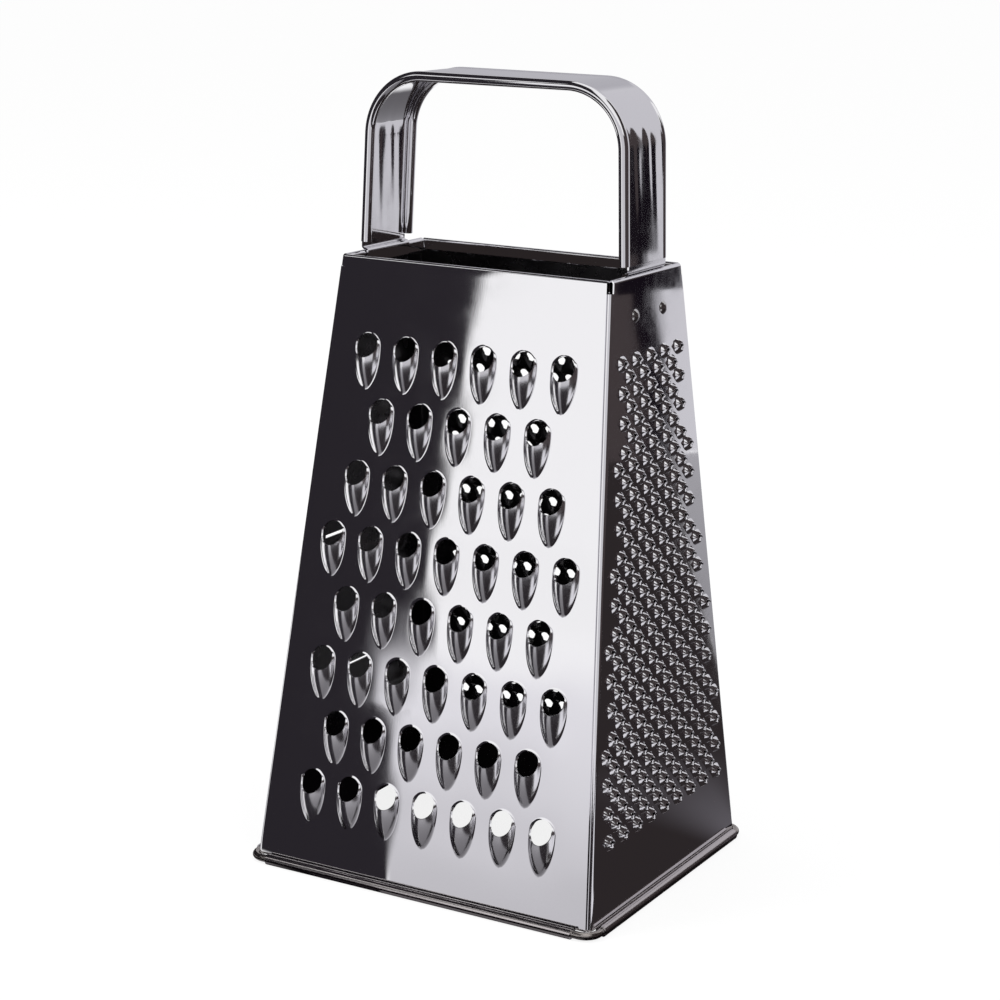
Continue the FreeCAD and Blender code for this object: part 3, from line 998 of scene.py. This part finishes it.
@dataclass(kw_only=True)
class SlicerPanel(SideSheet):
    """The slicing side: wide slots, each with the sheet below it raised as a ramp to a straight lip."""

    step: float = 0.5
    pitch: float = 42.0
    rows: int = 3
    first_drop: float = 40.0
    side_margin: float = 8.0
    fall: float = 12.0
    lift: float = 2.6
    straight_share: float = 0.65
    foot_ease: float = 4.0
    taper: float = 4.5
    gap: float = 2.4
    plain_step: float = 2.0
    ramp_steps: int = 16

    def lips(self) -> list[tuple[float, float]]:
        """Height and half length of each lip, from the lowest up.

        Returns:
            A height and a half length for each lip.
        """
        found = []
        for row in reversed(range(self.rows)):
            y = self.box.slope(self.side) - self.first_drop - row * self.pitch
            half = self.box.half_width(self.side, y) - self.side_margin
            found.append((y, round(half / self.step) * self.step))
        return found

    def flat(self) -> list[Patch]:
        """Bands between lips: each rises to its own lip and starts with the slot of the one below.

        The ramp's height is a line eased at its foot and lip, times an ease in from its two ends.

        Returns:
            Points and quads of each band.
        """
        columns = math.ceil(self.box.across(self.side)[0] / 2 / self.step)
        x = self.step * np.arange(-columns, columns + 1)
        made = []
        floor, slot = self.box.notch, 0.0
        for lip, half in self.lips() + [(self.top(), 0.0)]:
            keys = [floor, floor + self.gap] if slot else [floor]
            foot = lip - self.fall if half else lip
            plain = np.linspace(keys[-1], foot, max(2, round((foot - keys[-1]) / self.plain_step)))
            ramp = np.linspace(foot, lip, self.ramp_steps + 1)[1:] if half else np.array([])
            y = np.concatenate([keys[:-1], plain, ramp])
            points, faces = carried(x, y, np.zeros(len(y)))
            if half:
                climb = np.clip((points[:, 1] - foot) / self.fall, 0, 1)
                ends = smooth((half - np.abs(points[:, 0])) / self.taper)
                line = self.straight_share * climb + (1 - self.straight_share) * smooth(climb)
                points[:, 2] = self.lift * line * smooth(climb * self.foot_ease) * ends
            middle = points[faces].mean(1)
            opened = (middle[:, 1] < floor + self.gap) & (np.abs(middle[:, 0]) < slot - self.taper)
            made.append((points, faces[~(opened & (slot > 0))]))
            floor, slot = lip, half
        return made


class Strip:
    """A strip followed along its middle line in one plane, as runs and bends sampled into points."""

    def __init__(self, start: tuple[float, float], heading: float) -> None:
        """Start at a point, heading at an angle in degrees."""
        self.points = [np.array([start])]
        self.headings = [np.array([math.radians(heading)])]

    def run(self, length: float, steps: int) -> "Strip":
        """Go straight on for a length.

        Args:
            length: how far.
            steps: how many points it adds.

        Returns:
            The strip itself.
        """
        angle = self.headings[-1][-1]
        far = length * np.arange(1, steps + 1)[:, None] / steps
        self.points.append(self.points[-1][-1] + far * np.array([math.cos(angle), math.sin(angle)]))
        self.headings.append(np.full(steps, angle))
        return self

    def bend(self, radius: float, turn: float, steps: int) -> "Strip":
        """Go round an arc; a turn above zero is to the left.

        Args:
            radius: the arc's radius.
            turn: how far round, in degrees.
            steps: how many points it adds.

        Returns:
            The strip itself.
        """
        start, way = self.headings[-1][-1], math.copysign(1, turn)
        angle = start + math.radians(turn) * np.arange(1, steps + 1) / steps
        out = np.stack([np.sin(angle) - math.sin(start), math.cos(start) - np.cos(angle)], -1)
        self.points.append(self.points[-1][-1] + way * radius * out)
        self.headings.append(angle)
        return self

    def line(self) -> tuple[Points, Points]:
        """All points, and the direction to the left of the strip at each."""
        angle = np.concatenate(self.headings)
        return np.concatenate(self.points), np.stack([-np.sin(angle), np.cos(angle)], -1)


@dataclass
class HandleStrap:
    """The U-shaped strap with rolled edges, whose tongues go down inside the side sheets to the rivets.

    Sizes are in millimetres. A furrow wave is its share of the ripple, its radians for each millimetre
    across, its start in radians and its radians for each millimetre along.
    """

    top: float = 217.5
    sheet: float = 0.5
    width: float = 24.0
    roll_diameter: float = 2.8
    roll_turn: float = 300.0
    roll_steps: int = 23
    web_steps: int = 45
    corner_radius: float = 17.7
    leg_lean: float = 2.1
    leg_inset: float = 0.2
    leg_foot: float = 2.4
    leg_steps: int = 20
    corner_steps: int = 24
    tongue_drop: float = 17.0
    tongue_steps: int = 9
    bend_radius: float = 0.75
    hook_turn: float = 60.0
    hook_gap: float = 0.4
    hem_thickness: float = 1.8
    hem_foot: float = 3.9
    clearance: float = 0.1
    crown: float = 0.05
    groove: float = 0.22
    ripple: float = 0.011
    ripple_edge: float = 1.5
    furrow_up: float = 8.0
    furrow_down: float = 17.0
    slow_share: float = 0.5
    slow_waves: Waves = Waves(7.0, math.inf, 0.4, 4.6, 1.0)
    furrow_waves: tuple[tuple[float, float, float, float], ...] = (
        (1.0, 1.18, 0.9, 0.04), (0.8, 0.71, -0.8, 0.07), (0.35, 1.9, 0.0, 0.21))
    box: Box = Box()

    def tongue(self) -> Strip:
        """One end in the side sheet's frame, from inside the sheet, past its hem and up to the leg.

        Returns:
            The strip, as heights up the slope and outward steps.
        """
        slope, hook = self.box.slope(Side.RIGHT), math.radians(self.hook_turn)
        step_in = self.hem_thickness - self.box.sheet + self.clearance
        slant = (step_in - 2 * self.bend_radius * (1 - math.cos(hook))) / math.sin(hook)
        rise = 2 * self.bend_radius * math.sin(hook) + slant * math.cos(hook)
        lower = self.tongue_drop - self.hem_foot - self.hook_gap - rise
        past = self.hem_foot + self.hook_gap + self.clearance - (self.bend_radius - self.sheet / 2)
        outward = math.degrees(self.box.lean(Side.RIGHT)) - self.leg_lean
        ledge = (self.hem_thickness + self.clearance - self.leg_inset
                 - self.bend_radius * (1 + math.cos(math.radians(outward))))
        strip = Strip((slope - self.tongue_drop, -self.box.sheet - self.sheet / 2), 0)
        strip.run(lower, 4).bend(self.bend_radius, -self.hook_turn, 6).run(slant, 2)
        strip.bend(self.bend_radius, self.hook_turn, 6).run(past, 3)
        strip.bend(self.bend_radius, 90, 8).run(ledge, 1).bend(self.bend_radius, outward - 90, 8)
        rest = (slope + self.leg_foot - strip.points[-1][-1][0]) / math.cos(math.radians(outward))
        return strip.run(rest, 2)

    def web_half(self) -> float:
        """Half the width between the rolled edges."""
        return (self.width - self.roll_diameter) / 2

    def section(self) -> tuple[Points, Points]:
        """Across the strap: roll, crowned web, roll. The crown is a parabola, a groove below the rolls' tops.

        Returns:
            Places across and heights, of the strap's middle line.
        """
        roll = (self.roll_diameter - self.sheet) / 2
        curl = np.radians(np.linspace(self.roll_turn, 0, self.roll_steps))
        edge_across, edge_up = self.web_half() + roll * np.sin(curl), roll * (np.cos(curl) - 1)
        web = np.linspace(-1, 1, self.web_steps)[1:-1]
        return (np.concatenate([-edge_across, web * self.web_half(), edge_across[::-1]]),
                np.concatenate([edge_up, self.crown * (1 - web ** 2) - self.groove, edge_up[::-1]]))

    def furrows(self, along: Points, across: Points, corners: list[float]) -> Points:
        """Lengthwise furrows that bending leaves near the corners: sines across, dying away along the strap.

        Slow crossed sines run over the whole length besides.

        Args:
            along: distance along the strap.
            across: distance across it.
            corners: where each bend ends on its leg.

        Returns:
            The height to add.
        """
        total = self.slow_share * self.slow_waves.at(along, across)
        for corner, way in zip(corners, (1, -1)):
            up = way * (along - corner)
            fade = np.exp(-(up / np.where(up > 0, self.furrow_up, self.furrow_down)) ** 2)
            for share, turn, start, drift in self.furrow_waves:
                total = total + fade * share * np.sin(across * turn + start + drift * up)
        return self.ripple * total

    def build(self, finishes: Finishes) -> bpy.types.Object:
        """Carry the section along the arch, add the tongues, and dress the strap.

        Args:
            finishes: the grater's finishes.

        Returns:
            The finished piece.
        """
        height, _ = self.tongue().line()
        foot = self.box.stand(Side.RIGHT, np.array([[0.0, *height[-1]]]))[0] / MM
        lean = math.radians(self.leg_lean)
        middle = self.corner_radius - self.sheet / 2
        leg = (self.top - self.sheet / 2 - foot[2] - middle * (1 - math.sin(lean))) / math.cos(lean)
        span = 2 * (foot[0] - leg * math.sin(lean) - middle * math.cos(lean))
        arch = Strip((foot[0], foot[2]), 90 + self.leg_lean).run(leg, self.leg_steps)
        for length in (span, leg):
            arch.bend(middle, 90 - self.leg_lean, self.corner_steps).run(length, self.leg_steps)
        line, left = arch.line()
        along = np.concatenate([[0], np.cumsum(np.linalg.norm(np.diff(line, axis=0), axis=1))])
        across, up = self.section()
        inside = self.web_half() - np.abs(across)
        ripples = self.furrows(along[:, None], across[None, :], [leg, along[-1] - leg])
        lift = up + np.where(inside > 0, ripples * smooth(inside / self.ripple_edge), 0.0)
        flat = line[:, None, :] - left[:, None, :] * lift[..., None]
        points = np.stack([flat[..., 0], np.broadcast_to(across, lift.shape), flat[..., 1]], -1)
        patches = [(points.reshape(-1, 3) * MM, grid_faces(*lift.shape))]
        width = np.linspace(-self.web_half(), self.web_half(), self.tongue_steps)
        for side in (Side.RIGHT, Side.LEFT):
            tongue, faces = carried(width, height[:, 0], height[:, 1])
            patches.append((self.box.stand(side, tongue), faces))
        piece = mesh_piece("handle_strap_rolled", *stacked(patches))
        piece.data.materials.append(finishes.handle)
        thickened(piece, self.sheet * MM, crease=50, middle=True)
        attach(piece, "root")
        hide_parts("handle_strap")
        return piece


def hung(card: bpy.types.Object, cover: Points, tone: str, steep: str = "") -> None:
    """Paint a card where its cover is full, and let only mirrors see it.

    Args:
        card: the card, which becomes part of the stage.
        cover: how full the paint is at each point.
        tone: how bright it looks.
        steep: how bright a polished card looks when it is seen steeply rather than along it; seen along it,
            the card glows with its tone as a painted reflection of the walls.
    """
    write_values(card.data, "cover", cover)
    material, tree, output = blank_material("studio_" + card.name)
    share = add_node(tree, "ShaderNodeAttribute", attribute_name="cover")
    clear = add_node(tree, "ShaderNodeBsdfTransparent")
    paint = add_node(tree, "ShaderNodeEmission", None, {"Color": linear(tone), "Strength": 1.0})
    if steep:
        # Painted reflection: a polished card glows bright when it is seen along its surface, as if it
        # mirrored the walls, and shows its own tone from above.
        along = add_node(tree, "ShaderNodeFresnel", None, {"IOR": 2.4})
        along = add_node(tree, "ShaderNodeMapRange", {"Value": along.outputs[0]},
                         {"From Min": 0.1, "From Max": 0.67})
        dark = add_node(tree, "ShaderNodeEmission", None, {"Color": linear(steep), "Strength": 1.0})
        paint = add_node(tree, "ShaderNodeMixShader",
                         {0: along.outputs[0], 1: dark.outputs[0], 2: paint.outputs[0]})
    mix = add_node(tree, "ShaderNodeMixShader",
                   {0: share.outputs["Fac"], 1: clear.outputs[0], 2: paint.outputs[0]})
    tree.links.new(mix.outputs[0], output.inputs["Surface"])
    card.data.materials.append(material)
    card.visible_camera = False
    card.visible_diffuse = False
    card.visible_shadow = False


@dataclass(frozen=True)
class Flag:
    """A studio card seen only in reflections: a curved wall round part of the object, a floor, or both.

    It runs from a start to an end round the object, in degrees from the front, with a soft stretch at each.
    Heights and distances are in metres. Steep is its tone from above where the card is polished; seen along
    such a card, its tone is a painted reflection of the walls.
    """

    name: str
    start: float
    end: float
    fade_start: float
    fade_end: float
    tone: str
    low: float = 0.0
    height: float = 0.0
    far: float = 0.75
    fade_top: float = 0.0
    near: tuple[tuple[float, float], tuple[float, float]] | None = None
    level: float = 0.0008
    steep: str = ""
    arc_steps: int = 65
    fade_steps: int = 9

    def build(self) -> None:
        """Make the card as a section carried round an arc, with soft ends and, if asked, a soft top.

        The section is the wall, or a run over the floor from the near line, or the run and then the wall.
        """
        place = np.unique(np.concatenate([
            np.linspace(self.start, self.end, self.arc_steps),
            np.linspace(self.start, self.start + self.fade_start, self.fade_steps),
            np.linspace(self.end - self.fade_end, self.end, self.fade_steps)]))
        turn = np.radians(place)
        share = (place - self.start) / (self.end - self.start)
        ring = np.stack([np.sin(turn), -np.cos(turn)], -1) * self.far
        heights = np.linspace(max(self.low, self.level), max(self.height, self.level),
                              self.fade_steps if self.height else 1)
        levels = [np.column_stack([ring, np.full(len(turn), z)]) for z in heights]
        if self.near is not None:
            first, last = np.array(self.near)
            inner = first + (last - first) * share[:, None]
            levels.insert(0, np.column_stack([inner, np.full(len(turn), self.level)]))
        card = mesh_piece(self.name, np.stack(levels, 1).reshape(-1, 3), grid_faces(len(turn), len(levels)))
        cover = smooth((place - self.start) / self.fade_start) * smooth((self.end - place) / self.fade_end)
        top = smooth((self.height - heights) / self.fade_top) if self.fade_top else np.ones(len(heights))
        top = np.append(np.ones(len(levels) - len(heights)), top)
        hung(card, (cover[:, None] * top).ravel(), self.tone, self.steep)


@dataclass
class Studio:
    """The white table, white surroundings, the cards, lamps and the camera."""

    eye: tuple[float, float, float] = (0.32743, -0.58078, 0.26554)
    forward: tuple[float, float, float] = (-0.47914, 0.84458, -0.23897)
    roll: float = 1.071
    lens: float = 89.9
    fill: float = 0.75
    table_glow: float = 1.06
    table_glow_share: float = 0.8
    aim_height: float = 0.1
    flags: tuple[Flag, ...] = (
        Flag("card_left", -138.0, -28.4, 6.0, 0.8, "#2A272C", height=0.45),
        Flag("card_left_mid", -138.0, -44.0, 6.0, 6.0, "#2A272C", low=0.45, height=0.66),
        Flag("card_left_high", -138.0, -28.4, 6.0, 0.8, "#2A272C", low=0.66, height=2.0),
        Flag("card_left_rear_floor", -150.0, -92.0, 8.0, 8.0, "#332E31", level=0.0009,
             near=((-0.058, 0.05), (-0.058, -0.02))),
        Flag("card_left_floor", -70.0, -28.8, 6.0, 1.5, "#2A272C", near=((-0.03, -0.046), (-0.010, -0.046))),
        Flag("card_left_near", -130.0, -64.0, 6.0, 6.0, "#A4A2A6", far=0.2, level=0.0006,
             near=((-0.056, 0.0), (-0.03, -0.046))),
        Flag("card_high_front", -31.0, 5.0, 2.0, 8.0, "#2A272C", low=0.36, height=2.0, far=0.74),
        Flag("card_front", -14.0, 50.0, 8.0, 6.0, "#D0CFD3", height=0.5),
        Flag("card_front_low", -31.0, 52.0, 1.5, 3.0, "#EBEAEE", height=0.05, far=0.73, fade_top=0.05),
        # This floor card glows bright when seen along it: a painted reflection of the walls in a polished
        # table.
        Flag("card_grey_floor", -32.0, 52.0, 2.0, 3.0, "#EDECF0", level=0.0005, steep="#524F53",
             near=((-0.010, -0.046), (0.052, -0.046))),
        # The dark floor wedge fanning out from the front-right corner is a painted shadow of the grater on
        # the table.
        Flag("card_front_floor_painted_shadow", -16.0, 52.0, 3.0, 3.0, "#2A2629", near=((0.052, -0.047), (0.054, -0.047))),
        Flag("card_corner_floor", 52.0, 80.0, 5.0, 8.0, "#E4E3E8", far=0.5, level=0.0011,
             near=((0.075, -0.058), (0.075, -0.012))),
        Flag("card_right", 46.0, 150.35, 6.0, 0.08, "#433C3D", height=0.094),
        Flag("card_right_mid", 46.0, 151.5, 6.0, 0.08, "#433C3D", low=0.094, height=0.40),
        Flag("card_right_high", 64.0, 140.0, 10.0, 6.0, "#3A3435", low=0.40, height=1.8),
        # The dark floor card along the right side is a painted shadow of the grater on the table.
        Flag("card_right_floor_painted_shadow", 46.0, 150.35, 6.0, 0.08, "#2E292A", near=((0.054, -0.05), (0.053, 0.06))),
        Flag("card_right_near", 116.0, 146.0, 20.0, 8.0, "#605D62", far=0.16, fade_top=0.01, level=0.0010,
             near=((0.054, 0.03), (0.054, 0.055))),
        Flag("card_stripe", 149.3, 150.4, 0.05, 0.08, "#140F16", height=0.094, far=0.745),
        Flag("card_stripe_mid", 148.6, 151.55, 0.05, 0.08, "#140F16", low=0.094, height=0.22, far=0.745,
             fade_top=0.06),
        Flag("card_back", 150.3, 194.0, 0.08, 10.0, "#D2D1D6", height=2.0, far=0.755),
        # This floor card glows bright when seen along it: a painted reflection of the walls in a polished
        # table.
        Flag("card_back_floor", 150.3, 194.0, 0.08, 10.0, "#D2D1D6", level=0.0006, steep="#2E2A2E",
             near=((0.053, 0.06), (0.0, 0.06))),
        Flag("card_rear_left", 180.0, 222.0, 10.0, 6.0, "#B9B8BE", height=2.0, far=0.765),
    )

    def seen(self, tree: bpy.types.NodeTree) -> bpy.types.NodeSocket:
        """One where the eye, a mirror or a clear thing looks, zero for the light that falls on things.

        Args:
            tree: the node tree.

        Returns:
            The socket that carries it.
        """
        path = add_node(tree, "ShaderNodeLightPath").outputs
        both = add_node(tree, "ShaderNodeMath", {0: path["Is Camera Ray"], 1: path["Is Glossy Ray"]},
                        operation="MAXIMUM")
        every = add_node(tree, "ShaderNodeMath", {0: both.outputs[0], 1: path["Is Transmission Ray"]},
                         operation="MAXIMUM")
        return every.outputs[0]

    def surroundings(self) -> None:
        """White all round to look at, and a plain soft light from everywhere."""
        world = bpy.data.worlds.new("white_studio")
        bpy.context.scene.world = world
        world.use_nodes = True
        tree = world.node_tree
        tree.nodes.clear()
        out = add_node(tree, "ShaderNodeOutputWorld")
        light, white = (add_node(tree, "ShaderNodeBackground", None,
                                 {"Color": linear("#FFFFFF"), "Strength": strength})
                        for strength in (self.fill, 1.0))
        mix = add_node(tree, "ShaderNodeMixShader",
                       {0: self.seen(tree), 1: light.outputs[0], 2: white.outputs[0]})
        tree.links.new(mix.outputs[0], out.inputs["Surface"])

    def table(self) -> None:
        """A wide white table, a disc of rings, that keeps a faint shadow."""
        radius = np.array([0.0, 0.4, 1.5, 12.0])
        turn = np.linspace(0, 2 * math.pi, 65)[:-1]
        points = np.stack([radius[:, None] * np.cos(turn), radius[:, None] * np.sin(turn),
                           np.zeros((len(radius), len(turn)))], -1).reshape(-1, 3)
        floor = mesh_piece("table", points, grid_faces(len(radius), len(turn), closed=True)[:, ::-1])
        merged(floor.data, 1e-6)
        material, tree, out = blank_material("white_table_laminate")
        paint = add_node(tree, "ShaderNodeBsdfDiffuse", None, {"Color": linear("#F2F2F2")})
        glow = add_node(tree, "ShaderNodeEmission", None,
                        {"Color": linear("#FFFFFF"), "Strength": self.table_glow})
        share = add_node(tree, "ShaderNodeMath", {0: self.seen(tree)}, {1: self.table_glow_share},
                         operation="MULTIPLY")
        mix = add_node(tree, "ShaderNodeMixShader",
                       {0: share.outputs[0], 1: paint.outputs[0], 2: glow.outputs[0]})
        tree.links.new(mix.outputs[0], out.inputs["Surface"])
        floor.data.materials.append(material)

    def pad(self, name: str, width: float, depth: float, height: float, tone: str) -> None:
        """A level card under or inside the box, which hides the white table and sky from the mirrors there;
        under the box it is a painted shadow, inside it is painted shade.

        Args:
            name: the card's name.
            width: its size across, in millimetres.
            depth: its size from front to rear.
            height: how high it lies.
            tone: how bright it looks.
        """
        corner = np.array([[-1, -1], [1, -1], [1, 1], [-1, 1]]) * np.array([width, depth]) / 2
        card = mesh_piece(name, np.column_stack([corner, np.full(4, height)]) * MM, np.array([[0, 1, 2, 3]]))
        hung(card, np.ones(4), tone)

    def lamp(self, name: str, place: tuple[float, float, float], size: float, power: float) -> None:
        """A square soft lamp aimed at the middle of the grater.

        Args:
            name: the lamp's name.
            place: where it hangs, in metres.
            size: the side of its face.
            power: its power in watts.
        """
        data = bpy.data.lights.new(name, "AREA")
        data.size = size
        data.energy = power
        lamp = bpy.data.objects.new(name, data)
        lamp.location = place
        aim = Vector((0, 0, self.aim_height)) - Vector(place)
        lamp.rotation_euler = aim.to_track_quat("-Z", "Y").to_euler()
        lamp.visible_glossy = False
        bpy.context.scene.collection.objects.link(lamp)

    def camera(self) -> None:
        """The camera, from its eye point, its line of sight and a small roll."""
        ahead = Vector(self.forward).normalized()
        right = ahead.cross(Vector((0, 0, 1))).normalized()
        up = right.cross(ahead)
        turn = math.radians(self.roll)
        rolled_right = right * math.cos(turn) + up * math.sin(turn)
        rolled_up = up * math.cos(turn) - right * math.sin(turn)
        data = bpy.data.cameras.new("camera")
        data.lens = self.lens
        data.sensor_width = 36.0
        data.clip_start = 0.01
        camera = bpy.data.objects.new("camera", data)
        axes = Matrix((rolled_right, rolled_up, -ahead)).transposed()
        camera.matrix_world = Matrix.Translation(Vector(self.eye)) @ axes.to_4x4()
        bpy.context.scene.collection.objects.link(camera)
        bpy.context.scene.camera = camera

    def build(self) -> None:
        """Set everything up."""
        bpy.context.scene.view_settings.view_transform = "Standard"
        self.surroundings()
        self.table()
        for flag in self.flags:
            flag.build()
        # Dark pads: a painted contact shadow under the box and painted shade inside its top, seen only in the
        # mirrors.
        self.pad("card_painted_shadow_under_low", 112.0, 105.0, 0.2, "#0D0B0D")
        self.pad("card_painted_shadow_under", 112.0, 105.0, 1.2, "#0D0B0D")
        self.pad("card_painted_shade_inside_top", 79.0, 38.5, 165.0, "#2B2626")
        self.lamp("soft_lamp_left", (-0.9, -0.7, 1.1), size=0.8, power=9.0)
        self.lamp("soft_lamp_right", (1.0, -0.4, 1.0), size=0.8, power=6.0)
        self.camera()


def dress(node: str, material: bpy.types.Material) -> None:
    """Give a carried-over CAD node its finish.

    Args:
        node: the node's name.
        material: its finish.
    """
    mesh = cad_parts[node].data
    mesh.materials.clear()
    mesh.materials.append(material)


def main() -> None:
    """Build every piece in order, log its face count, and give the kept CAD nodes their finishes."""
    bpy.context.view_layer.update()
    finishes = Finishes()
    Studio().build()
    coarse = Scoop(hole_radius=3.3, half_width=3.75, lift=2.6, tail=11.7, bulge=0.85, collar=0.09,
                   fillet=0.17, body_rings=7, fillet_rings=3, outer_rings=3)
    medium = Scoop(hole_radius=1.6, half_width=1.8, lift=1.1, tail=3.5, bulge=0.0, collar=0.06,
                   fillet=0.10, body_rings=2, fillet_rings=1, outer_rings=2)
    for piece in (
        ToothedPanel(name="front_coarse_sheet", node="front_coarse_panel", side=Side.FRONT, tooth=coarse,
                     pitch=12.0, row_pitch=17.26, rows=8, first_drop=23.6, side_margin=5.0, above=4.55,
                     nx=10, ny=14, dish=0.045),
        ToothedPanel(name="rear_medium_sheet", node="rear_medium_panel", side=Side.REAR, tooth=medium,
                     pitch=4.8, row_pitch=5.4, rows=25, first_drop=21.0, side_margin=8.0, above=1.76,
                     nx=4, ny=4, dish=0.01),
        StarPanel(name="right_star_sheet", node="right_fine_panel", side=Side.RIGHT),
        SlicerPanel(name="left_slicer_sheet", node="left_slicer_panel", side=Side.LEFT),
        HandleStrap(),
    ):
        made = piece.build(finishes)
        log.info("%s built, %d faces", made.name, len(made.data.polygons))
    dress("base_wire", finishes.wire)
    for side in ("right", "left"):
        for end in ("front", "rear"):
            dress("handle_rivet_" + side + "_" + end, finishes.rivet)
    log.info("sizes noted")


if __name__ == "__main__":
    main()
